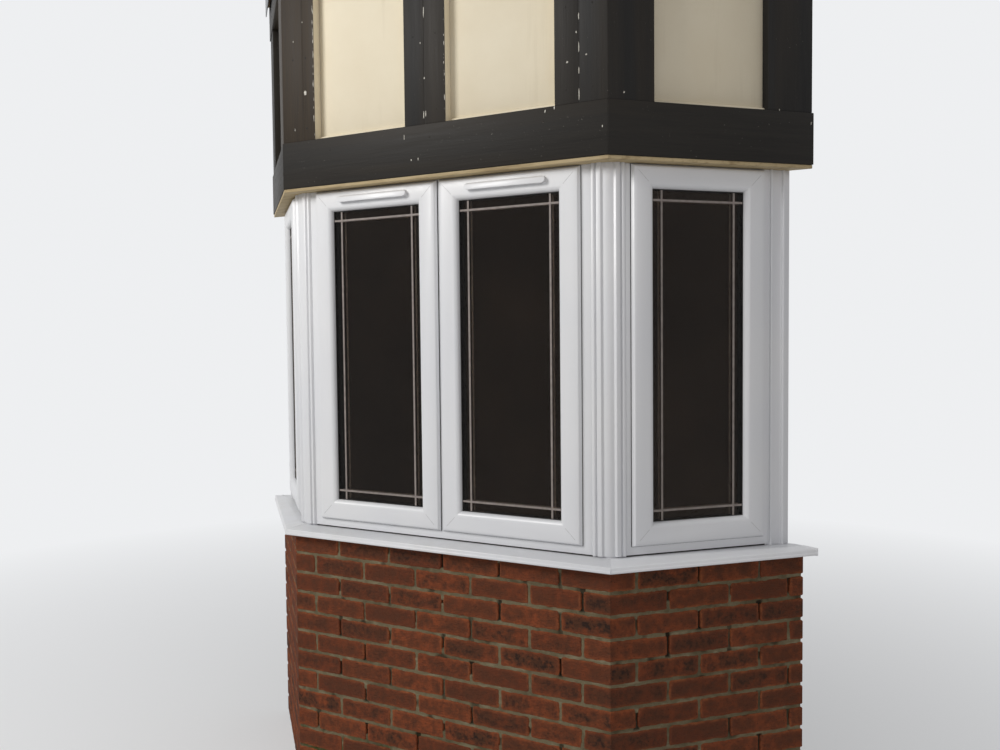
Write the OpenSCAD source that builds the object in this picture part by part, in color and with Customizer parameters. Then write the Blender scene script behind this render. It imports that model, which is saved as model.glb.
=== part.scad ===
// Canted bay window: brick base, uPVC casements and a timber-framed apron under a flat lead roof.
// Origin at ground level, on the line of the house wall, midway along the bay. The front faces -Y.

/* [Plan] */
// Width of the front face between its outer brick corners
front_w = 1280; // [1200:5:1400]
// Length of each canted face at the outer brick line
cant_l = 710; // [680:5:760]

/* [Brick base] */
// Thickness of the outer brick leaf
brick_t = 102; // [100:1:105]
// Cavity between the outer and the inner leaf
cavity_t = 50; // [40:5:60]
// Thickness of the inner leaf with its plaster
inner_t = 112; // [100:1:120]
// Height of the brickwork, thirteen courses of 75
base_h = 975; // [900:75:1050]
// Thickness of the window board that lies on the inner leaf
board_t = 25; // [18:1:32]
// Thickness of the ground floor slab
slab_t = 150; // [100:10:200]

/* [Cill] */
// How far the cill nose stands out from the brick face
nose_out = 38; // [30:1:45]
// Height of the nose above the brickwork
nose_h = 25; // [22:1:30]
// Height of the cill where the frame stands on it
cill_h = 34; // [33:1:38]

/* [Windows] */
// How far the sash faces lie behind the brick face
sash_in = 18; // [16:1:24]
// How far the sash stands proud of the frame
sash_proud = 18; // [16:1:20]
// Depth of the frame section
frame_d = 70; // [65:1:75]
// Height of the frames from cill to soffit
frame_h = 1258; // [1200:1:1300]
// Width of the sash section seen from outside
sash_w = 75; // [70:1:80]
// Thickness of the sealed glass unit
glass_t = 28; // [24:2:28]
// Length of one vent hood
hood_l = 300; // [250:10:340]

/* [Posts] */
// Distance from the corner to the end of each arm of a corner post
post_arm = 60; // [58:1:64]
// How far the ribs stand out of the posts
rib_out = 8; // [6:1:10]

/* [Apron] */
// Thickness of the soffit boards
soffit_t = 12; // [9:1:15]
// How far the bottom beam stands out from the brick face
beam_out = 19; // [18:1:28]
// Depth of the bottom beam
beam_h = 170; // [150:5:200]
// Depth of the top rail
rail_h = 150; // [120:5:180]
// Height of the posts between the beam and the top rail
apron_h = 600; // [450:10:700]
// Width of the middle post and the end posts
post_w = 166; // [140:2:170]
// Width of the corner posts on the canted faces
cant_w = 158; // [140:2:170]
// Width of the left corner post on the front
left_w = 150; // [140:2:180]
// Width of the right corner post on the front
right_w = 180; // [140:2:190]
// Distance of the middle post from the centre of the front
mid_post_x = -20; // [-40:5:40]
// How far the posts stand out from the brick face
plank_out = 15; // [10:1:17]
// How far the rendered panels lie behind the brick face
panel_in = 21; // [16:1:26]

/* [Roof] */
// Fall of the flat roof from the house wall to its edge
roof_fall = 40; // [20:5:60]
// How far the lead edge stands out from the brick face
lead_out = 34; // [32:1:45]

/* [Hidden] */
$fn = 32;

cant = 45;
mitre = tan(cant / 2);
depth = cant_l * sin(cant);
// Cutting shapes reach big where their far end doesn't matter, and spare past what they cut elsewhere
big = 4000;
spare = 5;

inner_out = -(brick_t + cavity_t);
inner_in = inner_out - inner_t;

frame_p = -(sash_in + sash_proud);
back_p = frame_p - frame_d;
frame_z = base_h + cill_h;
inner_h = frame_z - board_t;
head_z = frame_z + frame_h;
soffit_z = head_z + soffit_t;
beam_top = soffit_z + beam_h;
rail_z = beam_top + apron_h;
deck_z = rail_z + rail_h;

// Sash openings along each face, and their heights above the frame's foot
gap_half = 5;
front_jamb = 32;
side_jamb = 17;
wall_jamb = 21;
sash_foot = 33;
sash_head = 3;
sash_lap = 17;
sash_h = frame_h - sash_foot - sash_head;
front_half = front_w / 2 + frame_p * mitre - post_arm;
front_sash_w = front_half - front_jamb - gap_half;
side_end = 580;
side_sash_w = side_end - post_arm - side_jamb - wall_jamb;

apron_p = -35;
apron_in = -130;
deck_out = 30;
deck_edge = 22;
lead_t = 4;

brick_colour = "#8a4a36";
plaster_colour = "#e9e4d8";
upvc_colour = "#f3f4f5";
timber_colour = "#1d1a18";
render_colour = "#efe8d2";
lead_colour = "#7d8388";

// A point on the outline that stands p out from the brick face
function corner(p) = [front_w / 2 + p * mitre, -(depth + p)];
function wall_end(p) = [front_w / 2 + depth + p * sqrt(2), 0];
// Length of the canted face that stands p out, from its corner to the house wall
function cant_reach(p) = (depth + p) / sin(cant);
// Points set back u from the right corner, along the front and along the canted face
function on_front(u, p) = corner(p) - [u, 0];
function on_cant(u, p) = corner(p) + u * [cos(cant), sin(cant)];
function flip(q) = [-q[0], q[1]];

module slab(points, z0, z1) {
    translate([0, 0, z0]) linear_extrude(z1 - z0) polygon(points);
}

module front_band(p0, p1, z0, z1) {
    slab([corner(p0), flip(corner(p0)), flip(corner(p1)), corner(p1)], z0, z1);
}

module right_band(p0, p1, z0, z1) {
    slab([corner(p0), wall_end(p0), wall_end(p1), corner(p1)], z0, z1);
}

// The whole area inside the outline that stands p out
module footprint(p, z0, z1) {
    slab([corner(p), wall_end(p), flip(wall_end(p)), flip(corner(p))], z0, z1);
}

module left_side() {
    mirror([1, 0, 0]) children();
}

// Local places: x along the face, -y outwards, z up
module at_front(p) {
    translate([0, -(depth + p), 0]) children();
}

module at_right(p) {
    translate([corner(p)[0], corner(p)[1], 0]) rotate([0, 0, cant]) children();
}

// Brick base
module brick_front() {
    color(brick_colour) front_band(-brick_t, 0, 0, base_h);
}

module brick_right() {
    color(brick_colour) right_band(-brick_t, 0, 0, base_h);
}

module inner_leaf_front() {
    color(plaster_colour) front_band(inner_in, inner_out, 0, inner_h);
}

module inner_leaf_right() {
    color(plaster_colour) right_band(inner_in, inner_out, 0, inner_h);
}

module floor_slab() {
    color("#a9a59c") footprint(inner_in, 0, slab_t);
}

// Cill: an extruded section with a sloping top, a rounded nose with a step, and a drip lip under it
nose_r = 5;
nose_step = 2;
step_z = 13;
seat_in = 2;
lip_in = 14;
lip_up = 6;
lip_z = 3;
lip_edge = 2;
slope_in = 20;
cap_t = 7;
cap_grow = 1.5;
cap_over = 1;
blunt = 6;

function nose_arc(r, g) = [for (a = [15 : 15 : 90])
    [nose_step - nose_out - g + r * (1 - cos(a)), base_h + nose_h + g - r * (1 - sin(a))]];

// The section seen from its end, grown by g all round
module cill_section(g = 0) {
    face = -nose_out - g;
    low = base_h - g;
    polygon(concat(
        [
            [-back_p, low], [seat_in, low], [seat_in, low + lip_up],
            [lip_in - nose_out, low + lip_up], [lip_in - nose_out, low + lip_z],
            [face + lip_edge, low + lip_z], [face, low + lip_z + lip_edge],
            [face, base_h + step_z - nose_step], [face + nose_step, base_h + step_z],
            [face + nose_step, base_h + nose_h + g - nose_r]
        ],
        nose_arc(nose_r, g),
        [[slope_in, base_h + cill_h + g], [-back_p, base_h + cill_h + g]]
    ));
}

module cill_run(g = 0) {
    translate([-big / 2, 0, 0]) rotate([90, 0, 90]) linear_extrude(big) cill_section(g);
}

module cill_front() {
    color(upvc_colour) intersection() {
        at_front(0) cill_run();
        front_band(back_p - spare, nose_out + spare, base_h - spare, frame_z + spare);
    }
}

// The acute end at the house wall is blunt
function blunt_x() = wall_end(nose_out)[0] - blunt;

// The cap on the end is a little bigger than the section all round
module cill_cap() {
    from = wall_end(0)[0] - cap_over;
    intersection() {
        at_right(0) cill_run(cap_grow);
        translate([from, -cap_t, base_h]) cube([blunt_x() - from, cap_t, big]);
    }
}

module cill_right() {
    color(upvc_colour) {
        intersection() {
            at_right(0) cill_run();
            right_band(back_p - spare, nose_out + spare, base_h - spare, frame_z + spare);
            translate([0, -big, 0]) cube([blunt_x(), big, big]);
        }
        cill_cap();
    }
}

// Window board inside, over the cavity and the inner leaf
board_over = 30;

module window_board_front() {
    color(plaster_colour) front_band(inner_in - board_over, back_p, inner_h, frame_z);
}

module window_board_right() {
    color(plaster_colour) right_band(inner_in - board_over, back_p, inner_h, frame_z);
}

// A narrow step under the frames and corner posts, which shows as a dark line on the cill
gap_h = 5;
gap_d = 5;

module foot_gap() {
    translate([-big / 2, -1, frame_z - 1]) cube([big, gap_d + 1, gap_h + 1]);
}

// Frames: one section all round, with a mullion in the front one
module frame_hole(x, w) {
    translate([x + sash_lap, -spare, frame_z + sash_foot + sash_lap])
        cube([w - 2 * sash_lap, frame_d + 2 * spare, sash_h - 2 * sash_lap]);
}

module frame_front() {
    color(upvc_colour) at_front(frame_p) difference() {
        translate([-front_half, 0, frame_z]) cube([2 * front_half, frame_d, frame_h]);
        for (x = [gap_half, -gap_half - front_sash_w]) frame_hole(x, front_sash_w);
        foot_gap();
    }
}

module frame_right() {
    color(upvc_colour) at_right(frame_p) difference() {
        translate([post_arm, 0, frame_z]) cube([side_end - post_arm, frame_d, frame_h]);
        frame_hole(post_arm + side_jamb, side_sash_w);
        foot_gap();
    }
}

// A rib between two places along its post, with sloped flanks and rounded shoulders
shoulder = 2;

module rib(from, to, flank) {
    polygon([
        [from, 1], [from, 0], [from + flank - shoulder, shoulder - rib_out],
        [from + flank, -rib_out], [to - flank, -rib_out],
        [to - flank + shoulder, shoulder - rib_out], [to, 0], [to, 1]
    ]);
}

// Corner post: two arms round a broad rounded corner, and a wide and a narrow rib on each arm
corner_round = 34;
post_flank = 5;
wide_rib = [19, 42];
narrow_rib = [42, post_arm - 1];

module corner_post_body() {
    arm_end = on_front(post_arm, frame_p);
    cant_end = on_cant(post_arm, frame_p);
    polygon(concat(
        [arm_end],
        [for (a = [-90 : cant / 6 : cant - 90])
            corner(frame_p - corner_round) + corner_round * [cos(a), sin(a)]],
        [cant_end, cant_end + frame_d * [-sin(cant), cos(cant)], corner(back_p), arm_end + [0, frame_d]]
    ));
}

module arm_ribs() {
    rib(wide_rib[0], wide_rib[1], post_flank);
    rib(narrow_rib[0], narrow_rib[1], post_flank);
}

module corner_post_right() {
    past = post_arm + spare;
    rib_p = frame_p + rib_out + spare;
    color(upvc_colour) translate([0, 0, frame_z]) difference() {
        linear_extrude(frame_h) {
            corner_post_body();
            translate(corner(frame_p)) mirror([1, 0]) arm_ribs();
            translate(corner(frame_p)) rotate(cant) arm_ribs();
        }
        translate([0, 0, -1]) linear_extrude(gap_h + 1) polygon([
            on_front(past, rib_p), corner(rib_p), on_cant(past, rib_p),
            on_cant(past, frame_p - gap_d), corner(frame_p - gap_d), on_front(past, frame_p - gap_d)
        ]);
    }
}

// Wall post: fills from the frame to the house wall and stands straight on the cill, with two slim ribs
wall_flank = 3;
wall_ribs = [[583, 593], [629, 640]];

module wall_post_right() {
    reach = cant_reach(frame_p);
    color(upvc_colour) intersection() {
        at_right(frame_p) translate([0, 0, frame_z]) linear_extrude(frame_h) {
            polygon([[side_end, 0], [reach, 0], [reach - frame_d, frame_d], [side_end, frame_d]]);
            for (r = wall_ribs) rib(r[0], r[1], wall_flank);
        }
        translate([0, -big, 0]) cube([big, big, big]);
    }
}

// Sash section, from its outer edge inwards: steep edge, shallow bevel, flat face, ovolo bead, glass rebate
edge_w = 6;
edge_d = 12;
edge_nip = 1;
bevel_w = 18;
bevel_d = 2;
bead_w = 18;
bead_fall = 19;
bead_steps = 6;
glass_rebate = 15;
glass_in = 21;
sash_d = 66;
back_w = 8;
back_d = 6;
seat_gap = 3;

function bead(a) = [sash_w - bead_w * (1 - sin(a)), bead_fall * (1 - cos(a))];

module sash_section() {
    polygon([for (q = concat(
        [
            [0, sash_proud], [0, edge_d + edge_nip], [edge_nip, edge_d],
            [edge_w, bevel_d + edge_nip], [edge_w + 2 * edge_nip, bevel_d], [bevel_w, 0]
        ],
        [for (k = [0 : bead_steps]) bead(90 * k / bead_steps)],
        [
            [sash_w, glass_in], [sash_w - glass_rebate, glass_in],
            [sash_w - glass_rebate, glass_in + glass_t], [sash_w, glass_in + glass_t],
            [sash_w, sash_d - back_d], [sash_w - back_w, sash_d],
            [sash_lap + seat_gap, sash_d], [sash_lap + seat_gap, sash_proud]
        ])) [q[1], q[0]]]);
}

module sash_bar(len) {
    intersection() {
        rotate([90, 0, 90]) linear_extrude(len) sash_section();
        translate([0, sash_d + spare, 0]) rotate([90, 0, 0]) linear_extrude(sash_d + 2 * spare)
            polygon([[0, 0], [len, 0], [len - 2 * sash_w, 2 * sash_w], [2 * sash_w, 2 * sash_w]]);
    }
}

// Four bars mitred at the corners
module sash(w) {
    sash_bar(w);
    translate([0, 0, sash_h]) mirror([0, 0, 1]) sash_bar(w);
    mirror([1, 0, -1]) sash_bar(sash_h);
    translate([w, 0, 0]) mirror([1, 0, 0]) mirror([1, 0, -1]) sash_bar(sash_h);
}

module pane(w) {
    edge = sash_w - glass_rebate;
    translate([edge, glass_in, edge]) cube([w - 2 * edge, glass_t, sash_h - 2 * edge]);
}

module in_front_right_sash() {
    at_front(-sash_in) translate([gap_half, 0, frame_z + sash_foot]) children();
}

module in_side_sash() {
    at_right(frame_p) translate([post_arm + side_jamb, -sash_proud, frame_z + sash_foot]) children();
}

module sash_front_right() {
    color(upvc_colour) in_front_right_sash() sash(front_sash_w);
}

module sash_right() {
    color(upvc_colour) in_side_sash() sash(side_sash_w);
}

module glass_front_right() {
    color("#26302f") in_front_right_sash() pane(front_sash_w);
}

module glass_right() {
    color("#26302f") in_side_sash() pane(side_sash_w);
}

// Vent hoods on the top bars of the front sashes
hood_h = 24;
hood_out = 16;
hood_drop = 47;
// The section seen from its end: how far out, how far up
hood_profile = [[0, 0], [hood_out, 0], [hood_out, 3], [13, 18], [8, 23], [5, hood_h], [0, hood_h]];

module hood() {
    intersection() {
        rotate([90, 0, 90]) linear_extrude(hood_l) polygon([for (q = hood_profile) [-q[0], q[1]]]);
        translate([hood_h / 2, spare, hood_h / 2]) rotate([90, 0, 0]) linear_extrude(hood_out + 2 * spare) {
            circle(hood_h / 2);
            translate([0, -hood_h / 2]) square([hood_l - hood_h, hood_h]);
            translate([hood_l - hood_h, 0]) circle(hood_h / 2);
        }
    }
}

module vent_hood_right() {
    in_front_right_sash() translate([(front_sash_w - hood_l) / 2, 0, sash_h - hood_drop]) hood();
}

module vent_hoods() {
    color(upvc_colour) {
        vent_hood_right();
        left_side() vent_hood_right();
    }
}

// Window handles inside: a back plate and a lever that lies along the sash
plate_w = 30;
plate_h = 66;
plate_t = 9;
lever_l = 110;
neck_l = 28;
neck_r = 9;
lever_r = 7;
lever_over = 4;
handle_z = 520;

module handle() {
    translate([-plate_w / 2, 0, -plate_h / 2]) cube([plate_w, plate_t, plate_h]);
    translate([0, plate_t, 0]) rotate([-90, 0, 0]) cylinder(h = neck_l, r = neck_r);
    translate([0, plate_t + neck_l - lever_r - 1, -lever_l]) cylinder(h = lever_l + lever_over, r = lever_r);
}

module window_handles_right() {
    in_front_right_sash() translate([sash_w / 2, sash_d, handle_z]) handle();
    in_side_sash() translate([sash_w / 2, sash_d, handle_z]) handle();
}

module window_handles() {
    color("#e8e8e6") {
        window_handles_right();
        left_side() window_handles_right();
    }
}

// Soffit under the beam and ceiling inside
soffit_back = 3;

module soffit_front() {
    color(render_colour) front_band(back_p, beam_out - soffit_back, head_z, soffit_z);
}

module soffit_right() {
    color(render_colour) right_band(back_p, beam_out - soffit_back, head_z, soffit_z);
}

module ceiling() {
    color(plaster_colour) footprint(back_p, head_z, soffit_z);
}

// Apron: framed wall, rendered panels, and black timbers standing proud of them
module beam_front() {
    color(timber_colour) front_band(apron_p, beam_out, soffit_z, beam_top);
}

module beam_right() {
    color(timber_colour) right_band(apron_p, beam_out, soffit_z, beam_top);
}

module top_rail_front() {
    color(timber_colour) front_band(apron_p, beam_out, rail_z, deck_z);
}

module top_rail_right() {
    color(timber_colour) right_band(apron_p, beam_out, rail_z, deck_z);
}

module apron_wall_front() {
    color("#c9b08a") front_band(apron_in, apron_p, soffit_z, deck_z);
}

module apron_wall_right() {
    color("#c9b08a") right_band(apron_in, apron_p, soffit_z, deck_z);
}

module panel_front() {
    color(render_colour) front_band(apron_p, -panel_in, beam_top, rail_z);
}

module panel_right() {
    color(render_colour) right_band(apron_p, -panel_in, beam_top, rail_z);
}

// The wide posts are two boards side by side, with an open seam between them
seam_w = 3;
seam_d = 6;
seam_u = 96;

module seam(x) {
    translate([x - seam_w / 2, -1, beam_top - 1]) cube([seam_w, seam_d + 1, apron_h + 2]);
}

// A corner post is two boards mitred together, each with a square outer edge
module timber_corner(front_arm) {
    thick = plank_out + panel_in;
    front_end = on_front(front_arm, plank_out);
    cant_end = on_cant(cant_w, plank_out);
    color(timber_colour) difference() {
        slab([
            front_end, front_end + [0, thick], corner(-panel_in),
            cant_end + thick * [-sin(cant), cos(cant)], cant_end, corner(plank_out)
        ], beam_top, rail_z);
        at_front(plank_out) seam(corner(plank_out)[0] - seam_u);
    }
}

module timber_middle() {
    color(timber_colour) at_front(plank_out) difference() {
        translate([mid_post_x - post_w / 2, 0, beam_top]) cube([post_w, plank_out + panel_in, apron_h]);
        seam(mid_post_x);
    }
}

// The end posts stop square on the canted face and are cut at the house wall
module timber_end_right() {
    intersection() {
        right_band(-panel_in, plank_out, beam_top, rail_z);
        at_right(plank_out) translate([cant_reach(plank_out) - post_w, 0, beam_top])
            cube([2 * post_w, plank_out + panel_in, apron_h]);
    }
}

module timber_ends() {
    color(timber_colour) {
        timber_end_right();
        left_side() timber_end_right();
    }
}

// Flat roof: a deck laid to falls, and a lead sheet with turned down edges, rolls and an upstand
lead_z = deck_z + deck_edge;
roof_run = depth + deck_out;
roof_pitch = atan(roof_fall / roof_run);
roof_past = 50;
skirt_h = 60;
upstand_h = 100;
roll_r = 20;
roll_x = 330;
roll_start = 25;

// Height of the deck's top at a distance y from the house wall, negative outwards
function deck_top(y) = lead_z + roof_fall * (1 + y / roof_run);

// A slab between two heights over the top of the deck, which reaches past its edge
module falling(low, high) {
    edge = -(roof_run + roof_past);
    translate([-big / 2, 0, 0]) rotate([90, 0, 90]) linear_extrude(big) polygon([
        [edge, deck_top(edge) + low], [0, deck_top(0) + low],
        [0, deck_top(0) + high], [edge, deck_top(edge) + high]
    ]);
}

module roof_deck() {
    color("#b9975f") difference() {
        footprint(deck_out, deck_z, lead_z + roof_fall);
        falling(0, big);
    }
}

module lead_sheet() {
    intersection() {
        footprint(lead_out, deck_z, lead_z + roof_fall + roof_past);
        falling(0, lead_t);
    }
}

module lead_skirt() {
    low = lead_z - skirt_h;
    high = lead_z + roof_fall + lead_t;
    difference() {
        union() {
            front_band(deck_out, lead_out, low, high);
            right_band(deck_out, lead_out, low, high);
            left_side() right_band(deck_out, lead_out, low, high);
        }
        falling(lead_t, big);
    }
}

module lead_upstand() {
    intersection() {
        footprint(deck_out, lead_z, lead_z + roof_fall + upstand_h);
        translate([-big / 2, -lead_t, 0]) cube([big, lead_t, big]);
    }
}

// A rounded roll down the slope, over the joint between two bays of lead
module lead_roll(x) {
    intersection() {
        translate([x, 0, deck_top(0)]) rotate([90 + roof_pitch, 0, 0])
            cylinder(h = roof_run + roof_past, r = roll_r);
        translate([x - roll_r, roll_start - roof_run, lead_z])
            cube([2 * roll_r, roof_run - roll_start - lead_t, roof_fall + 2 * roll_r]);
        falling(lead_t / 2, big);
    }
}

module roof_lead() {
    color(lead_colour) {
        lead_sheet();
        lead_skirt();
        lead_upstand();
        for (x = [-roll_x, roll_x]) lead_roll(x);
    }
}

brick_front();
left_side() brick_right();  // brick_left
brick_right();
inner_leaf_front();
left_side() inner_leaf_right();  // inner_leaf_left
inner_leaf_right();
floor_slab();
cill_front();
left_side() cill_right();  // cill_left
cill_right();
window_board_front();
left_side() window_board_right();  // window_board_left
window_board_right();
frame_front();
left_side() frame_right();  // frame_left
frame_right();
left_side() corner_post_right();  // corner_post_left
corner_post_right();
left_side() wall_post_right();  // wall_post_left
wall_post_right();
left_side() sash_front_right();  // sash_front_left
sash_front_right();
left_side() sash_right();  // sash_left
sash_right();
left_side() glass_front_right();  // glass_front_left
glass_front_right();
left_side() glass_right();  // glass_left
glass_right();
vent_hoods();
window_handles();
soffit_front();
left_side() soffit_right();  // soffit_left
soffit_right();
ceiling();
beam_front();
left_side() beam_right();  // beam_left
beam_right();
apron_wall_front();
left_side() apron_wall_right();  // apron_wall_left
apron_wall_right();
panel_front();
left_side() panel_right();  // panel_left
panel_right();
left_side() timber_corner(left_w);  // timber_corner_left
timber_corner(right_w);  // timber_corner_right
timber_middle();
timber_ends();
top_rail_front();
left_side() top_rail_right();  // top_rail_left
top_rail_right();
roof_deck();
roof_lead();
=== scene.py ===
import math
import random

import bmesh
import bpy
from mathutils import Matrix, Vector, noise


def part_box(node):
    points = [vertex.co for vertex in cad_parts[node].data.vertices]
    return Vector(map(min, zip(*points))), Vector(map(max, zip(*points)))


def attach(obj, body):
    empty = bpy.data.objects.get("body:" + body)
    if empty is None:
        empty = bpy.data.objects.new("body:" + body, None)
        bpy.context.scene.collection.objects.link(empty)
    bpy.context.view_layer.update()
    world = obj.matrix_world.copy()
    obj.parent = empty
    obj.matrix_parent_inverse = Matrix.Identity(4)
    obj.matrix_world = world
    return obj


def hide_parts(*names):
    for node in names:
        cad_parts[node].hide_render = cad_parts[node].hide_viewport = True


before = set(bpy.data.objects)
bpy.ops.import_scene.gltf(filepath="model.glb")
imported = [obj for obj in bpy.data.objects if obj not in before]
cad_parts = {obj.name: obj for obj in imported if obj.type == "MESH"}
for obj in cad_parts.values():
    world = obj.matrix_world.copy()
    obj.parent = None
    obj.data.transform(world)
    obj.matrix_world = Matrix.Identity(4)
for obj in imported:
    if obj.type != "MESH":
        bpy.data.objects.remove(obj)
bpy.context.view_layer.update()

# Outer brick leaf
# Red-brown facing bricks, 215 x 65 mm, in stretcher bond on 10 mm joints, and cut to the mitre at the
# two corners. The joints are pointed by hand, so the mortar lies flush here and hollow there.
COURSE = 0.075
STRETCHER = 0.225
JOINT = 0.010

# How far an end shifts along its face for each metre inward: at a corner, and at the house wall
MITRE = math.tan(math.radians(22.5))
BACK_CUT = 1.0

front_low, front_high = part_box("brick_front")
HALF = front_high.x
DEPTH = -front_low.y
LEAF = front_high.y - front_low.y
BASE_HEIGHT = front_high.z
CANT_LENGTH = DEPTH * math.sqrt(2)
COURSES = round(BASE_HEIGHT / COURSE)

# A face is its starting corner, its direction along and its direction inward
CANT_RUN = Vector((1, 1, 0)).normalized()
FRONT_FACE = (Vector((-HALF, -DEPTH, 0)), Vector((1, 0, 0)), Vector((0, 1, 0)))
RIGHT_FACE = (Vector((HALF, -DEPTH, 0)), CANT_RUN, Vector((-CANT_RUN.y, CANT_RUN.x, 0)))
LEFT_FACE = tuple(Vector((-v.x, v.y, v.z)) for v in RIGHT_FACE)

# A bond is the first upright joint of odd and of even courses, and the piece that ends the even ones
FRONT_BOND = (0.204, 0.092, 0.097)
CANT_BOND = (0.093, 0.205, None)

# The least that a course leaves at its end, and before a piece that ends it
LEAST_END = 0.03
LEAST_BEFORE = 0.05

# A leaf is its name, face, length, the slopes of its two ends, and its bond
LEAVES = (
    ("front", FRONT_FACE, 2 * HALF, (MITRE, MITRE), FRONT_BOND),
    ("right", RIGHT_FACE, CANT_LENGTH, (MITRE, BACK_CUT), CANT_BOND),
    ("left", LEFT_FACE, CANT_LENGTH, (MITRE, BACK_CUT), CANT_BOND)
)


def face_point(face, u, inward, z):
    start, along, into = face
    return start + along * u + into * inward + Vector((0, 0, z))


def course_foot(course):
    """Courses count down from the top of the leaf."""
    return BASE_HEIGHT - (course + 1) * COURSE + JOINT


def course_joints(course, length, bond):
    """The upright joints of a course, as places along its face."""
    odd, even, corner_piece = bond
    is_odd = course % 2 == 0
    joints = []
    u = odd if is_odd else even
    while u < length - LEAST_END:
        joints.append(u)
        u += STRETCHER
    if corner_piece is not None and not is_odd:
        last = length - corner_piece
        joints = [u for u in joints if u < last - LEAST_BEFORE] + [last]
    return joints


def shade_round(mesh, under):
    """Edges flatter than so many degrees are shaded round, and the others stay sharp."""
    mesh.shade_smooth()
    mesh.set_sharp_from_angle(angle=math.radians(under))


def new_piece(name, bm, material, soft_under=None):
    """A finished piece from its mesh, shaded round under soft_under degrees."""
    bmesh.ops.recalc_face_normals(bm, faces=bm.faces)
    mesh = bpy.data.meshes.new(name)
    bm.to_mesh(mesh)
    bm.free()
    mesh.materials.append(material)
    if soft_under is not None:
        shade_round(mesh, soft_under)
    piece = bpy.data.objects.new(name, mesh)
    bpy.context.scene.collection.objects.link(piece)
    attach(piece, "root")
    return piece


def start_material(name, roughness, shine=0.5):
    material = bpy.data.materials.new(name)
    material.use_nodes = True
    tree = material.node_tree
    shader = tree.nodes["Principled BSDF"]
    shader.inputs["Roughness"].default_value = roughness
    shader.inputs["Specular IOR Level"].default_value = shine
    place = tree.nodes.new("ShaderNodeTexCoord").outputs["Object"]
    return material, tree, shader, place


def stretched(tree, place, scale):
    mapping = tree.nodes.new("ShaderNodeMapping")
    mapping.inputs["Scale"].default_value = scale
    tree.links.new(place, mapping.inputs["Vector"])
    return mapping.outputs["Vector"]


def cloud(tree, place, scale, detail=6.0, rough=0.6):
    node = tree.nodes.new("ShaderNodeTexNoise")
    node.inputs["Scale"].default_value = scale
    node.inputs["Detail"].default_value = detail
    node.inputs["Roughness"].default_value = rough
    tree.links.new(place, node.inputs["Vector"])
    return node.outputs["Fac"]


def band(tree, value, low, high, low_out=0.0, high_out=1.0):
    """The value from low to high, as a share that runs from low_out to high_out."""
    node = tree.nodes.new("ShaderNodeMapRange")
    node.inputs["From Min"].default_value = low
    node.inputs["From Max"].default_value = high
    node.inputs["To Min"].default_value = low_out
    node.inputs["To Max"].default_value = high_out
    tree.links.new(value, node.inputs["Value"])
    return node.outputs["Result"]


def product(tree, first, second):
    node = tree.nodes.new("ShaderNodeMath")
    node.operation = "MULTIPLY"
    tree.links.new(first, node.inputs[0])
    tree.links.new(second, node.inputs[1])
    return node.outputs[0]


def blend_colours(tree, amount, first, second):
    node = tree.nodes.new("ShaderNodeMix")
    node.data_type = "RGBA"
    for socket, value in ((node.inputs[6], first), (node.inputs[7], second)):
        if isinstance(value, tuple):
            socket.default_value = (*value, 1)
        else:
            tree.links.new(value, socket)
    tree.links.new(amount, node.inputs[0])
    return node.outputs[2]


def paint(tree, shader, colour):
    tree.links.new(colour, shader.inputs["Base Color"])


def raise_surface(tree, shader, height, distance, strength=1.0, under=None):
    node = tree.nodes.new("ShaderNodeBump")
    node.inputs["Distance"].default_value = distance
    node.inputs["Strength"].default_value = strength
    tree.links.new(height, node.inputs["Height"])
    if under is not None:
        tree.links.new(under, node.inputs["Normal"])
    tree.links.new(node.outputs["Normal"], shader.inputs["Normal"])
    return node.outputs["Normal"]


def drawn_on(tree, name):
    """A value that the mesh carries at its points."""
    node = tree.nodes.new("ShaderNodeAttribute")
    node.attribute_name = name
    return node.outputs["Fac"]


def height_of(tree, place):
    node = tree.nodes.new("ShaderNodeSeparateXYZ")
    tree.links.new(place, node.inputs[0])
    return node.outputs["Z"]


CLAY_DARK = (0.172, 0.048, 0.0225)
CLAY_RED = (0.297, 0.078, 0.0305)
CLAY_MOTTLE = (0.142, 0.047, 0.025)
CLAY_SMOKED = (0.087, 0.040, 0.023)
CLAY_ORANGE = (0.385, 0.126, 0.049)
KILN_BLACK = (0.022, 0.016, 0.014)
PIT_SHADE = (0.050, 0.022, 0.016)


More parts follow.
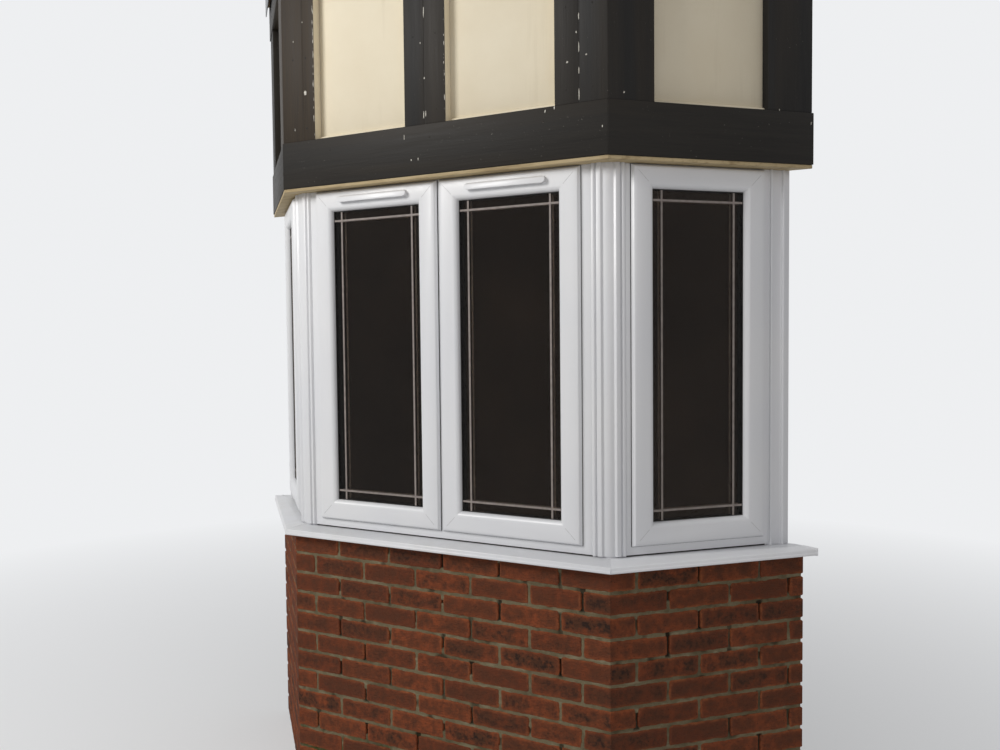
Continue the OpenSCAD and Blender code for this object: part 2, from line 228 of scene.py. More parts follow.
def brick_finish():
    """Red fired clay with a dusky heart, orange arrises, and black kiln marks on the burnt ones. Small
    pits are painted dark as their shade.
    """
    material, tree, shader, place = start_material("facing_brick", roughness=0.9, shine=0.15)
    tone, burnt, heart = (drawn_on(tree, name) for name in ("tone", "burnt", "heart"))
    body = blend_colours(tree, tone, CLAY_DARK, CLAY_RED)
    mottled = band(tree, cloud(tree, place, 30.0, 8.0, 0.72), 0.42, 0.62, high_out=0.85)
    body = blend_colours(tree, mottled, body, CLAY_MOTTLE)
    smoky = product(tree, heart, band(tree, cloud(tree, place, 15.0, 5.0, 0.65), 0.34, 0.54))
    smoked = product(tree, smoky, band(tree, burnt, 0.0, 1.0, 0.50, 0.97))
    body = blend_colours(tree, smoked, body, CLAY_SMOKED)
    pale_here = band(tree, cloud(tree, place, 8.0, 3.0), 0.38, 0.62, 0.05, 1.0)
    worn = product(tree, pale_here, band(tree, cloud(tree, place, 55.0), 0.34, 0.60, 0.1, 0.95))
    edge = product(tree, band(tree, heart, 0.02, 0.50, 1.0, 0.0), worn)
    body = blend_colours(tree, edge, body, CLAY_ORANGE)
    kiln = band(tree, cloud(tree, place, 75.0, 5.0), 0.48, 0.60)
    kiln = product(tree, product(tree, smoky, burnt), kiln)
    body = blend_colours(tree, kiln, body, KILN_BLACK)
    # Painted shade: small pits in the face are dark specks of colour, with no hollow in the mesh
    painted_pit_shade = band(tree, cloud(tree, place, 210.0, 3.0), 0.63, 0.69)
    paint(tree, shader, blend_colours(tree, painted_pit_shade, body, PIT_SHADE))
    fine = raise_surface(tree, shader, cloud(tree, place, 300.0, 6.0, 0.75), 0.0040)
    creased = cloud(tree, stretched(tree, place, (1, 1, 2.4)), 75.0)
    raise_surface(tree, shader, creased, 0.0080, under=fine)
    return material


SAND_DARK = (0.130, 0.107, 0.062)
SAND_LIGHT = (0.252, 0.210, 0.130)
LIME_PALE = (0.310, 0.264, 0.172)
SOOT_STAIN = (0.084, 0.066, 0.037)
# The colour of painted shade in hollow mortar
HOLLOW_SHADE = (0.038, 0.029, 0.020)
MOSS = (0.050, 0.062, 0.016)
MOSS_FULL, MOSS_NONE = 0.12, 0.34


def mortar_finish():
    """Sandy lime-grey mortar, stained in places, darkened as painted shade where it lies hollow, with moss
    in the lowest joints.
    """
    material, tree, shader, place = start_material("mortar", roughness=0.95, shine=0.1)
    sand = band(tree, cloud(tree, place, 520.0, 4.0, 0.8), 0.36, 0.64)
    colour = blend_colours(tree, sand, SAND_DARK, SAND_LIGHT)
    pale = band(tree, cloud(tree, stretched(tree, place, (1, 1, 3)), 14.0), 0.50, 0.66, high_out=0.7)
    colour = blend_colours(tree, pale, colour, LIME_PALE)
    stained = band(tree, cloud(tree, place, 11.0), 0.46, 0.68, high_out=0.8)
    colour = blend_colours(tree, stained, colour, SOOT_STAIN)
    # Painted shade: the mortar is darkened where it lies hollow, for the shadow in its holes
    colour = blend_colours(tree, drawn_on(tree, "hollow"), colour, HOLLOW_SHADE)
    low = band(tree, height_of(tree, place), MOSS_FULL, MOSS_NONE, 1.0, 0.0)
    low = product(tree, low, drawn_on(tree, "weathered"))
    mossy = product(tree, low, band(tree, cloud(tree, place, 12.0, 5.0), 0.47, 0.55))
    paint(tree, shader, blend_colours(tree, mossy, colour, MOSS))
    raise_surface(tree, shader, cloud(tree, place, 420.0, 6.0, 0.8), 0.003)
    return material


# One seeded source of chance for the whole bay
draw = random.Random(7)

# Half an upright joint and how it varies, how burnt the bricks are, and how far back one may lie
UPRIGHT_HALF = 0.0041
UPRIGHT_VARIES = (-0.0010, 0.0014)
BURNT_MEAN, BURNT_SPREAD = 0.10, 0.5
SET_BACK = 0.0009

# A brick's back and mesh step, its worn arrises and rounded corners, where its dusky heart is full,
# how far its face lies in, and the stretch beside a mitre over which its wear dies away
BRICK_BACK = 0.030
BRICK_STEP = 0.0075
ARRIS = 0.0045
ARRIS_DROP = 0.0032
ARRIS_STEPS = (0.0, 0.0012, 0.0026, ARRIS)
ROUNDING = 0.008
HEART = 0.020
CORNER_BACK = 0.0006
CALM = 0.02

# Noise on a brick: its own place there, the waves and ripples of its outline as depth, number to the
# metre and distance between its four edges, and the dents and grain of its face
SEED_FAR, SEED_NEAR = 50, 9
WAVE, WAVES, WAVES_APART = 0.0022, 42, 7.3
RIPPLE, RIPPLES, RIPPLES_APART, RIPPLES_UP = 0.0016, 105, 5.1, 3
WEAR, DENTS, GRAINS, GRAIN_SHARE = 0.0006, 45, 170, 0.6


def brick_places(low, high, worn_low, worn_high):
    """Places from low to high about a step apart, closer together at a worn end."""
    count = max(3, round((high - low) / BRICK_STEP))
    places = [low + (high - low) * k / count for k in range(count + 1)]
    clear = ARRIS + BRICK_STEP / 4
    if worn_low:
        places = [low + d for d in ARRIS_STEPS] + [p for p in places if p > low + clear]
    if worn_high:
        places = [p for p in places if p < high - clear] + [high - d for d in reversed(ARRIS_STEPS)]
    return places


def end_shift(u, us, slopes, inward):
    """How far a point moves along the face, because the face's end is cut at a slope."""
    if u == us[0]:
        return slopes[0] * inward
    if u == us[-1]:
        return -slopes[1] * inward
    return 0.0


def close_grid(bm, grid, back):
    """Faces over a grid of points, and the sides and back that run from it to four points behind."""
    for near_row, far_row in zip(grid, grid[1:]):
        for j in range(len(near_row) - 1):
            bm.faces.new((near_row[j], far_row[j], far_row[j + 1], near_row[j + 1]))
    bm.faces.new([row[0] for row in grid] + [back[1][0], back[0][0]])
    bm.faces.new([row[-1] for row in grid] + [back[1][1], back[0][1]])
    bm.faces.new(grid[0] + [back[0][1], back[0][0]])
    bm.faces.new(grid[-1] + [back[1][1], back[1][0]])
    bm.faces.new((back[0][0], back[1][0], back[1][1], back[0][1]))


def lay_brick(bm, layers, face, ends, slopes, z0, look):
    """One brick, worn and wavering in outline, closed at the back. A slope of 0 is a mortar joint."""
    u0, u1 = ends
    z1 = z0 + COURSE - JOINT
    tone, burnt, set_back = look
    seed = Vector((tone * SEED_FAR, burnt * SEED_FAR + set_back * SEED_NEAR, z0 * SEED_NEAR))
    jointed = (slopes[0] == 0, slopes[1] == 0)
    us = brick_places(u0, u1, *jointed)
    zs = brick_places(z0, z1, True, True)

    def to_ends(u, kind):
        return [d for d, joint in zip((u - u0, u1 - u), jointed) if joint == kind]

    def calm(u):
        """Falls to nothing at a mitred corner, so that the two faces meet there."""
        return min([1.0] + [d / CALM for d in to_ends(u, False)])

    def waver(along, edge):
        slow = noise.noise(Vector((along * WAVES, edge * WAVES_APART, 0)) + seed)
        quick = noise.noise(Vector((along * RIPPLES, edge * RIPPLES_APART, RIPPLES_UP)) + seed)
        return WAVE * slow + RIPPLE * quick

    def outline(u, z):
        inside = ROUNDING - min([ROUNDING] + to_ends(u, True))
        pull = ROUNDING - math.sqrt(ROUNDING ** 2 - inside ** 2)
        low = z0 + pull + calm(u) * waver(u, 1)
        high = z1 - pull + calm(u) * waver(u, 2)
        along = (u - u0) / (u1 - u0)
        shift = (1 - along) * jointed[0] * waver(z, 3) + along * jointed[1] * waver(z, 4)
        return u + shift, low + (high - low) * (z - z0) / (z1 - z0)

    def depth(u, z):
        near = min([z - z0, z1 - z] + to_ends(u, True))
        drop = ARRIS_DROP * max(0.0, 1 - near / ARRIS) ** 2
        at = Vector((u, z, 0))
        worn = 1 + noise.noise(at * DENTS + seed) + GRAIN_SHARE * noise.noise(at * GRAINS + seed)
        return CORNER_BACK + drop + calm(u) * (set_back + WEAR * worn), min(1.0, near / HEART)

    def new_point(u, z, inward):
        flat_u, flat_z = outline(u, z)
        return bm.verts.new(face_point(face, flat_u + end_shift(u, us, slopes, inward), inward, flat_z))

    grid = []
    for u in us:
        row = []
        for z in zs:
            inward, heart = depth(u, z)
            point = new_point(u, z, inward)
            for layer, value in zip(layers, (tone, burnt, heart)):
                point[layer] = value
            row.append(point)
        grid.append(row)
    back = [[new_point(u, z, BRICK_BACK) for z in (z0, z1)] for u in (u0, u1)]
    close_grid(bm, grid, back)


def brick_layers(bm):
    return [bm.verts.layers.float.new(layer) for layer in ("tone", "burnt", "heart")]


def lay_bricks(name, face, length, slopes, bond):
    bm = bmesh.new()
    layers = brick_layers(bm)
    for course in range(COURSES):
        marks = [0.0] + course_joints(course, length, bond) + [length]
        for k in range(len(marks) - 1):
            first, last = k == 0, k + 2 == len(marks)
            low = marks[k] + (0 if first else UPRIGHT_HALF + draw.uniform(*UPRIGHT_VARIES))
            high = marks[k + 1] - (0 if last else UPRIGHT_HALF)
            cut = (slopes[0] if first else 0, slopes[1] if last else 0)
            burnt = min(1.0, max(0.0, draw.gauss(BURNT_MEAN, BURNT_SPREAD)))
            look = (draw.random(), burnt, draw.uniform(0, SET_BACK))
            lay_brick(bm, layers, face, (low, high), cut, course_foot(course), look)
    bricks = new_piece("bricks_" + name, bm, BRICK, soft_under=50)
    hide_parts("brick_" + name)


# Mortar: the step of its mesh, how far back it lies, and its swells and trowel marks as depth and
# number to the metre
MORTAR_STEP = 0.005
MORTAR_BACK = 0.0044
MORTAR_LEAST = 0.0028
MORTAR_SHY = 0.0015
FACES_APART = 3.7
SWELL, SWELLS = 0.0026, 17
TROWEL, TROWELS = 0.0008, 120

# Holes in the pointing: a full one's depth, the share that most reach, their number to the metre and
# place in the noise, and the level at which they start and its rise to the deepest
HOLLOW = 0.009
HOLE_SHARE = 0.55
HOLES = 21
HOLES_AT = Vector((5, 9, 2))
HOLE_FROM, HOLE_RISE = 0.42, 0.18

# Upright joints that the pointing missed: how many, how wide, their foot and top as shares of a
# course, and their depth as a share of a full hole
MISSED = 0.55
MISSED_HALF = 0.008
MISSED_FOOT = (-0.2, 0.5)
MISSED_TOP = (0.6, 1.2)
MISSED_SHARE = (0.25, 1.0)


def missed_uprights(length, bond):
    """Each joint that was missed, as its middle, foot, top and depth."""
    missed = []
    for course in range(COURSES):
        foot = course_foot(course)
        for u in course_joints(course, length, bond):
            if draw.random() < MISSED and CALM < u < length - CALM:
                low = foot + draw.uniform(*MISSED_FOOT) * (COURSE - JOINT)
                high = foot + draw.uniform(*MISSED_TOP) * (COURSE - JOINT)
                missed.append((u, low, high, draw.uniform(*MISSED_SHARE)))
    return missed


def mortar_depth(u, z, level, missed):
    """How far the hand-pointed mortar lies behind the brick faces, and how much of a hole it has there."""
    at = Vector((u, z, level * FACES_APART))
    swell = SWELL * noise.noise(at * SWELLS) + TROWEL * noise.noise(at * TROWELS)
    rise = (noise.noise(at * HOLES + HOLES_AT) - HOLE_FROM) / HOLE_RISE
    hole = HOLE_SHARE * max(0.0, min(1.0, rise))
    for middle, foot, top, share in missed:
        if abs(u - middle) < MISSED_HALF and foot < z < top:
            hole = share
    return max(MORTAR_LEAST, MORTAR_BACK + swell + HOLLOW * hole), hole


def bed_bricks(name, face, length, slopes, bond, level):
    """The mortar, with the unseen body of the leaf behind it, as one closed mesh. Only mortar weathers."""
    missed = missed_uprights(length, bond)
    bm = bmesh.new()
    hollow, weathered = (bm.verts.layers.float.new(layer) for layer in ("hollow", "weathered"))
    columns = round(length / MORTAR_STEP)
    us = [length * k / columns for k in range(columns + 1)]
    zs = [MORTAR_STEP * k for k in range(round(BASE_HEIGHT / MORTAR_STEP) + 1)]

    def new_point(u, z, inward):
        place = u + end_shift(u, us, slopes, inward)
        if slopes[1] == BACK_CUT:
            place = min(place, length - inward - MORTAR_SHY)
        return bm.verts.new(face_point(face, place, inward, z))

    grid = []
    for u in us:
        calm = min(1.0, min(u, length - u) / CALM)
        column = []
        for z in zs:
            rough, hole = mortar_depth(u, z, level, missed)
            point = new_point(u, z, MORTAR_BACK + calm * (rough - MORTAR_BACK))
            point[hollow] = calm * hole
            point[weathered] = 1.0
            column.append(point)
        grid.append(column)
    back = [[new_point(u, z, LEAF) for z in (zs[0], zs[-1])] for u in (us[0], us[-1])]
    close_grid(bm, grid, back)
    new_piece("mortar_" + name, bm, MORTAR, soft_under=60)


CUT_DEPTH = 0.006
CUT_MARGIN = 0.002
LEAST_SLICE = STRETCHER / 10
CUT_TONES, CUT_BURNS = 0.37, 0.61


def join_rings(bm, near, far):
    """A solid between two like rings of points."""
    bm.faces.new(near)
    bm.faces.new(far)
    for k in range(len(near)):
        bm.faces.new((near[k - 1], near[k], far[k], far[k - 1]))


def show_cut_bricks(name, face):
    """The bodies of the bricks that the leaf's back edge cuts through, seen only from behind."""
    bm = bmesh.new()
    layers = brick_layers(bm)
    for course in range(COURSES):
        z0 = course_foot(course)
        z1 = z0 + COURSE - JOINT
        split = CANT_LENGTH - course_joints(course, CANT_LENGTH, CANT_BOND)[-1]
        limits = [(BRICK_BACK, LEAF - CUT_MARGIN)]
        if split < LEAF - LEAST_SLICE:
            limits = [(BRICK_BACK, split - UPRIGHT_HALF), (split + UPRIGHT_HALF, LEAF - CUT_MARGIN)]
        look = (course * CUT_TONES % 1, course * CUT_BURNS % 1, 1.0)
        for near, far in limits:
            ring = ((near, z0), (far, z0), (far, z1), (near, z1))
            behind = [bm.verts.new(face_point(face, CANT_LENGTH - d, d, z)) for d, z in ring]
            ahead = [bm.verts.new(v.co - Vector((0, CUT_DEPTH, 0))) for v in behind]
            for point in behind + ahead:
                for layer, value in zip(layers, look):
                    point[layer] = value
            join_rings(bm, behind, ahead)
    new_piece("cut_bricks_" + name, bm, BRICK)


BRICK = brick_finish()
MORTAR = mortar_finish()
for leaf in LEAVES:
    lay_bricks(*leaf)
for level, leaf in enumerate(LEAVES):
    bed_bricks(*leaf, level)
show_cut_bricks("right", RIGHT_FACE)
show_cut_bricks("left", LEFT_FACE)


# Inner leaf, ceiling and floor slab
# Blockwork skimmed with plaster and painted off-white, over a cast concrete ground floor slab. The
# arrises of the plaster are slightly rounded by the trowel.

# How a plain solid is dressed: the distance within which points are one, and the angles in degrees
# under which an edge is flat, over which it is rounded, and under which it is shaded round
SAME_POINT = 1e-6
FLAT_UNDER = 0.5
ARRIS_OVER = 25
SOFT_UNDER = 40


def round_edges(bm, edges, rounding, steps):
    bmesh.ops.bevel(bm, geom=edges, offset=rounding, segments=steps, profile=0.5,
                    affect="EDGES", clamp_overlap=True)


def dressed(node, material, rounding, steps=2):
    """The node's own solid with its edges rounded, in the place of the plain one."""
    bm = bmesh.new()
    bm.from_mesh(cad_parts[node].data)
    bmesh.ops.remove_doubles(bm, verts=bm.verts, dist=SAME_POINT)
    bmesh.ops.dissolve_limit(bm, angle_limit=math.radians(FLAT_UNDER), verts=bm.verts, edges=bm.edges)
    inner = [e for e in bm.edges if len(e.link_faces) == 2]
    sharp = [e for e in inner if e.calc_face_angle() > math.radians(ARRIS_OVER)]
    round_edges(bm, sharp, rounding, steps)
    piece = new_piece("dressed_" + node, bm, material)
    plain_normals = piece.data.attributes.get("custom_normal")
    if plain_normals is not None:
        piece.data.attributes.remove(plain_normals)
    shade_round(piece.data, SOFT_UNDER)
    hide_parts(node)
    return piece


def sides(stem):
    return [stem + "_front", stem + "_left", stem + "_right"]


def mottle(tree, shader, pattern, limits, dark, light):
    """Paint that passes from dark to light where the pattern rises through its limits."""
    paint(tree, shader, blend_colours(tree, band(tree, pattern, *limits), dark, light))


def two_toned(name, roughness, patches, limits, dark, light, grain, relief, shine=0.5):
    """Patches of dark and light over a fine grain. Relief is the grain's depth and strength."""
    material, tree, shader, place = start_material(name, roughness, shine)
    mottle(tree, shader, cloud(tree, place, *patches), limits, dark, light)
    raise_surface(tree, shader, cloud(tree, place, *grain), *relief)
    return material


PLASTER = two_toned("painted_plaster", roughness=0.75, patches=(2.5, 4.0), limits=(0.3, 0.7),
                    dark=(0.66, 0.63, 0.56), light=(0.72, 0.70, 0.64),
                    grain=(40.0, 6.0, 0.7), relief=(0.0015, 0.25))
CONCRETE = two_toned("cast_concrete", roughness=0.9, patches=(9.0, 8.0, 0.7), limits=(0.3, 0.7),
                     dark=(0.26, 0.25, 0.23), light=(0.42, 0.40, 0.37),
                     grain=(220.0, 8.0, 0.75), relief=(0.002, 0.6))
for node in sides("inner_leaf") + ["ceiling"]:
    dressed(node, PLASTER, rounding=0.003)
dressed("floor_slab", CONCRETE, rounding=0.004)


# Cill
# A white plastic extrusion, cut and sealed at the two mitres with a fine bead of silicone. Rain has
# left a little grime on it, in streaks and specks.
UPVC_SHADE = (0.735, 0.745, 0.775)
UPVC_WHITE = (0.775, 0.78, 0.795)
GRIME_FILM = (0.60, 0.585, 0.55)
GRIME_SPECK = (0.30, 0.28, 0.24)


def upvc_finish(name, soiled):
    """White extruded plastic with faint draw lines, more or less soiled."""
    material, tree, shader, place = start_material(name, roughness=0.32, shine=0.4)
    shader.inputs["Coat Weight"].default_value = 0.1
    shader.inputs["Coat Roughness"].default_value = 0.15
    soft = band(tree, cloud(tree, place, 1.6, 2.0), 0.35, 0.65)
    colour = blend_colours(tree, soft, UPVC_SHADE, UPVC_WHITE)
    streaks = cloud(tree, stretched(tree, place, (1, 1, 0.3)), 6.0, 5.0)
    colour = blend_colours(tree, band(tree, streaks, 0.48, 0.72, high_out=soiled), colour, GRIME_FILM)
    specks = band(tree, cloud(tree, place, 150.0, 4.0, 0.7), 0.68, 0.74, high_out=soiled)
    paint(tree, shader, blend_colours(tree, specks, colour, GRIME_SPECK))
    rubbed = band(tree, cloud(tree, place, 30.0, 5.0), 0.3, 0.7, 0.28, 0.40)
    tree.links.new(rubbed, shader.inputs["Roughness"])
    draw_lines = cloud(tree, stretched(tree, place, (1, 1, 0.02)), 260.0, 2.0)
    raise_surface(tree, shader, draw_lines, 0.0003, strength=0.1)
    return material


BEAD_SIDES = 8


def run_bead(bm, points, radius, across):
    """A thin round bead of sealant along points. Across is square to the whole run."""
    turns = [2 * math.pi * step / BEAD_SIDES for step in range(BEAD_SIDES)]
    rings = []
    for k, point in enumerate(points):
        run = (points[min(k + 1, len(points) - 1)] - points[max(k - 1, 0)]).normalized()
        up = run.cross(across)
        around = [math.cos(t) * across + math.sin(t) * up for t in turns]
        rings.append([bm.verts.new(point + radius * aside) for aside in around])
    for near_ring, far_ring in zip(rings, rings[1:]):
        for k in range(BEAD_SIDES):
            bm.faces.new((near_ring[k], near_ring[k - 1], far_ring[k - 1], far_ring[k]))
    bm.faces.new(rings[0])
    bm.faces.new(rings[-1])


def corner_point(out, z, side=1):
    """The place on a corner's mitre that stands out from the bricks, on the right or the left side."""
    return Vector((side * (HALF + out * MITRE), -(DEPTH + out), z))


# The bead follows the cill's own nose, step, rounded edge and slope
MITRE_BEAD = 0.0009
NOSE_OUT = -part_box("cill_front")[0].y - DEPTH
CILL_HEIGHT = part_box("cill_front")[1].z - BASE_HEIGHT
FRAME_OUT = -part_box("frame_front")[0].y - DEPTH
NOSE_FOOT, NOSE_TOP = 0.006, 0.011
STEP_IN, STEP_FOOT, STEP_TOP = 0.002, 0.013, 0.020
EDGE_IN, EDGE_TOP = 0.006, 0.0245
SLOPE_TOP_OUT = -0.020


def seal_cill_mitres():
    section = (
        (NOSE_OUT, NOSE_FOOT), (NOSE_OUT, NOSE_TOP), (NOSE_OUT - STEP_IN, STEP_FOOT),
        (NOSE_OUT - STEP_IN, STEP_TOP), (NOSE_OUT - EDGE_IN, EDGE_TOP), (SLOPE_TOP_OUT, CILL_HEIGHT),
        (FRAME_OUT, CILL_HEIGHT)
    )
    bm = bmesh.new()
    for side in (1, -1):
        points = [corner_point(out, BASE_HEIGHT + up, side) for out, up in section]
        run_bead(bm, points, MITRE_BEAD, Vector((side, MITRE, 0)).normalized())
    new_piece("cill_mitre_seals", bm, CILL_SKIN, soft_under=60)


CILL_SKIN = upvc_finish("cill_upvc", soiled=0.34)
for node in sides("cill"):
    dressed(node, CILL_SKIN, rounding=0.0010)
seal_cill_mitres()


# Frames, posts, sashes and vent hoods
# White plastic sections, cut to 45 degrees and fusion welded, with the weld cleaned back to a fine
# line across each sash corner, drawn as a grey strip of painted shade. The posts are clipped and
# screwed to the frames.
POSTS = ["corner_post_left", "corner_post_right", "wall_post_left", "wall_post_right"]
FRAMES = {"frame_front": FRONT_FACE, "frame_left": LEFT_FACE, "frame_right": RIGHT_FACE}
SASHES = {
    "sash_front_left": FRONT_FACE, "sash_front_right": FRONT_FACE,
    "sash_left": LEFT_FACE, "sash_right": RIGHT_FACE
}

UPVC = upvc_finish("frame_upvc", soiled=0.07)
for node in list(FRAMES) + POSTS:
    dressed(node, UPVC, rounding=0.0008)
for node in SASHES:
    dressed(node, UPVC, rounding=0.0006)
dressed("vent_hoods", UPVC, rounding=0.0012)


def extent_on(node, face):
    """The node's limits along its face, into it and up it."""
    start, along, into = face
    points = [v.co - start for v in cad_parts[node].data.vertices]
    us = [p.dot(along) for p in points]
    ins = [p.dot(into) for p in points]
    zs = [p.z for p in points]
    return (min(us), max(us)), (min(ins), max(ins)), (min(zs), max(zs))


def add_strip(bm, face, first, last, width, inward):
    """A flat strip between two places on a face, each given as along and up."""
    first, last = Vector(first), Vector(last)
    run = (last - first).normalized()
    aside = Vector((-run.y, run.x)) * width / 2
    ring = (first + aside, last + aside, last - aside, first - aside)
    near = [bm.verts.new(face_point(face, q.x, inward[0], q.y)) for q in ring]
    far = [bm.verts.new(face_point(face, q.x, inward[1], q.y)) for q in ring]
    join_rings(bm, near, far)


# Painted shade: the grey weld strip stands for the shadow in the weld groove
WELD_SHADE_LINE = two_toned("weld_painted_shade_line", roughness=0.5, patches=(120.0,), limits=(0.35, 0.65),
                 dark=(0.42, 0.42, 0.43), light=(0.60, 0.60, 0.61),
                 grain=(300.0,), relief=(0.0003, 0.3))
WELD_WIDTH = 0.0014
WELD_PROUD = 0.00025
WELD_ROOT = 0.002
FLAT_FROM = 0.020
FLAT_TO = 0.055


def paint_weld_shade():
    """The welds show across the flat of each corner, as a grey strip of painted shade."""
    bm = bmesh.new()
    for node, face in SASHES.items():
        (u0, u1), (front, _), (z0, z1) = extent_on(node, face)
        for u, to_right in ((u0, 1), (u1, -1)):
            for z, upward in ((z0, 1), (z1, -1)):
                first = (u + to_right * FLAT_FROM, z + upward * FLAT_FROM)
                last = (u + to_right * FLAT_TO, z + upward * FLAT_TO)
                add_strip(bm, face, first, last, WELD_WIDTH, (front - WELD_PROUD, front + WELD_ROOT))
    new_piece("sash_weld_shade_lines", bm, WELD_SHADE_LINE)


def add_block(bm, face, u, inward, z, rounding=0.0):
    """A block from pairs of limits along the face, into it and up it."""
    points = [face_point(face, a, b, c) for a in u for b in inward for c in z]
    v = [bm.verts.new(p) for p in points]
    quads = ((0, 1, 3, 2), (4, 6, 7, 5), (0, 4, 5, 1), (2, 3, 7, 6), (0, 2, 6, 4), (1, 5, 7, 3))
    made = [bm.faces.new([v[k] for k in quad]) for quad in quads]
    if rounding:
        edges = dict.fromkeys(e for f in made for e in f.edges)
        round_edges(bm, list(edges), rounding, steps=2)


def ring_of_blocks(bm, face, limits, width, inward):
    """Four blocks that meet inside a rectangle's edge."""
    u0, u1, z0, z1 = limits
    for side in ((u0, u0 + width), (u1 - width, u1)):
        add_block(bm, face, side, inward, (z0, z1))
    for side in ((z0, z0 + width), (z1 - width, z1)):
        add_block(bm, face, (u0 + width, u1 - width), inward, side)


# Black for real gaskets and spacers, and for painted shade: dark lines for the shadow in the gaps round
# the sashes and under the frames
SEAL_AND_SHADE = two_toned("black_seal_and_painted_shade", roughness=0.7, shine=0.3, patches=(80.0,), limits=(0.3, 0.7),
                 dark=(0.016, 0.014, 0.013), light=(0.034, 0.031, 0.029),
                 grain=(200.0,), relief=(0.0005, 0.3))
SEAL_WIDTH = 0.0010
SEAL_PROUD = 0.0030
FOOT_SHADE_IN, FOOT_SHADE_BACK = 0.0025, 0.006
FOOT_SHADE_HEIGHT = 0.0050
END_CLEAR = 0.010


def fit_seals_and_shade_lines():
    """Black gaskets round each sash, which also paint the shadow in the gap, and a painted shadow line
    along the foot of each frame.
    """
    bm = bmesh.new()
    # Gaskets round each sash, black, which also stand for the shadow in the gap
    for node, face in SASHES.items():
        (u0, u1), _, (z0, z1) = extent_on(node, face)
        limits = (u0 - SEAL_WIDTH, u1 + SEAL_WIDTH, z0 - SEAL_WIDTH, z1 + SEAL_WIDTH)
        ring_of_blocks(bm, face, limits, 2 * SEAL_WIDTH, (-FRAME_OUT - SEAL_PROUD, -FRAME_OUT))
    # Painted shadow: a black strip along the foot of each frame, for the dark gap on the cill
    for node, face in FRAMES.items():
        (u0, u1), (front, _), (z0, _) = extent_on(node, face)
        clear = 0 if face is FRONT_FACE else END_CLEAR
        add_block(bm, face, (u0, u1 - clear), (front + FOOT_SHADE_IN, front + FOOT_SHADE_BACK),
                  (z0, z0 + FOOT_SHADE_HEIGHT))
    new_piece("black_seals_and_shade_lines", bm, SEAL_AND_SHADE)


paint_weld_shade()
fit_seals_and_shade_lines()


# Window boards and handles
# Moulded white window boards with a rounded edge, and white painted metal handles on back plates.
# The boards are bedded on the inner leaf, and the handles are screwed to the sashes.
BOARD_WHITE = (0.76, 0.76, 0.75)
ENAMEL_WHITE = (0.74, 0.74, 0.73)
DULLED = 0.93


def smooth_white(name, colour, roughness):
    darker = tuple(c * DULLED for c in colour)
    return two_toned(name, roughness, patches=(12.0,), limits=(0.3, 0.7), dark=darker, light=colour,
                     grain=(90.0,), relief=(0.0004, 0.1))


BOARD = smooth_white("window_board_skin", BOARD_WHITE, roughness=0.35)
ENAMEL = smooth_white("handle_enamel", ENAMEL_WHITE, roughness=0.3)
for node in sides("window_board"):
    dressed(node, BOARD, rounding=0.004, steps=3)
dressed("window_handles", ENAMEL, rounding=0.0015)


# Sealed glass units
# Two 4 mm panes held apart by a dark spacer, with black gaskets at the edge. Lead strips are stuck
# on the outer face of each pane, one near each edge, and they cross near the corners. Both panes are
# tinted brown as painted shade of the unlit room behind, the inner one almost black.
PANE = 0.004
SIGHT_EDGE = 0.015
SPACER_SHOWS = 0.002
GASKET_WIDTH = 0.003
GASKET_PROUD = 0.002
STRIP_WIDTH = 0.0070
STRIP_THICK = 0.0012
STRIP_IN = 0.035
STRIP_ROUND = 0.0004
STRIP_LAP = 0.15

GLASSES = {
    "glass_front_left": FRONT_FACE, "glass_front_right": FRONT_FACE,
    "glass_left": LEFT_FACE, "glass_right": RIGHT_FACE
}


def glass_finish(name, shaded_clean, shaded_smeared):
    material, tree, shader, place = start_material(name, roughness=0.015)
    shader.inputs["Transmission Weight"].default_value = 1.0
    shader.inputs["IOR"].default_value = 1.2
    mottle(tree, shader, cloud(tree, place, 3.0, 4.0), (0.4, 0.7), shaded_clean, shaded_smeared)
    raise_surface(tree, shader, cloud(tree, place, 1.5, 1.0), 0.002, strength=0.05)
    return material


def fit_strips(node, face, us, zs, outer_faces):
    """Two upright strips and two level ones that lap over them, on the outer face of each pane."""
    (u0, u1), (z0, z1) = us, zs
    bm = bmesh.new()
    reach = SIGHT_EDGE + STRIP_IN
    for outer_face in outer_faces:
        flat = (outer_face - STRIP_THICK, outer_face)
        for u in (u0 + reach, u1 - reach):
            add_block(bm, face, (u - STRIP_WIDTH / 2, u + STRIP_WIDTH / 2), flat,
                      (z0 + SIGHT_EDGE, z1 - SIGHT_EDGE), STRIP_ROUND)
        lapped = (flat[0] - STRIP_THICK * STRIP_LAP, flat[1])
        for z in (z0 + reach, z1 - reach):
            add_block(bm, face, (u0 + SIGHT_EDGE, u1 - SIGHT_EDGE), lapped,
                      (z - STRIP_WIDTH / 2, z + STRIP_WIDTH / 2), STRIP_ROUND)
    new_piece(node + "_strips", bm, LEAD_STRIP)


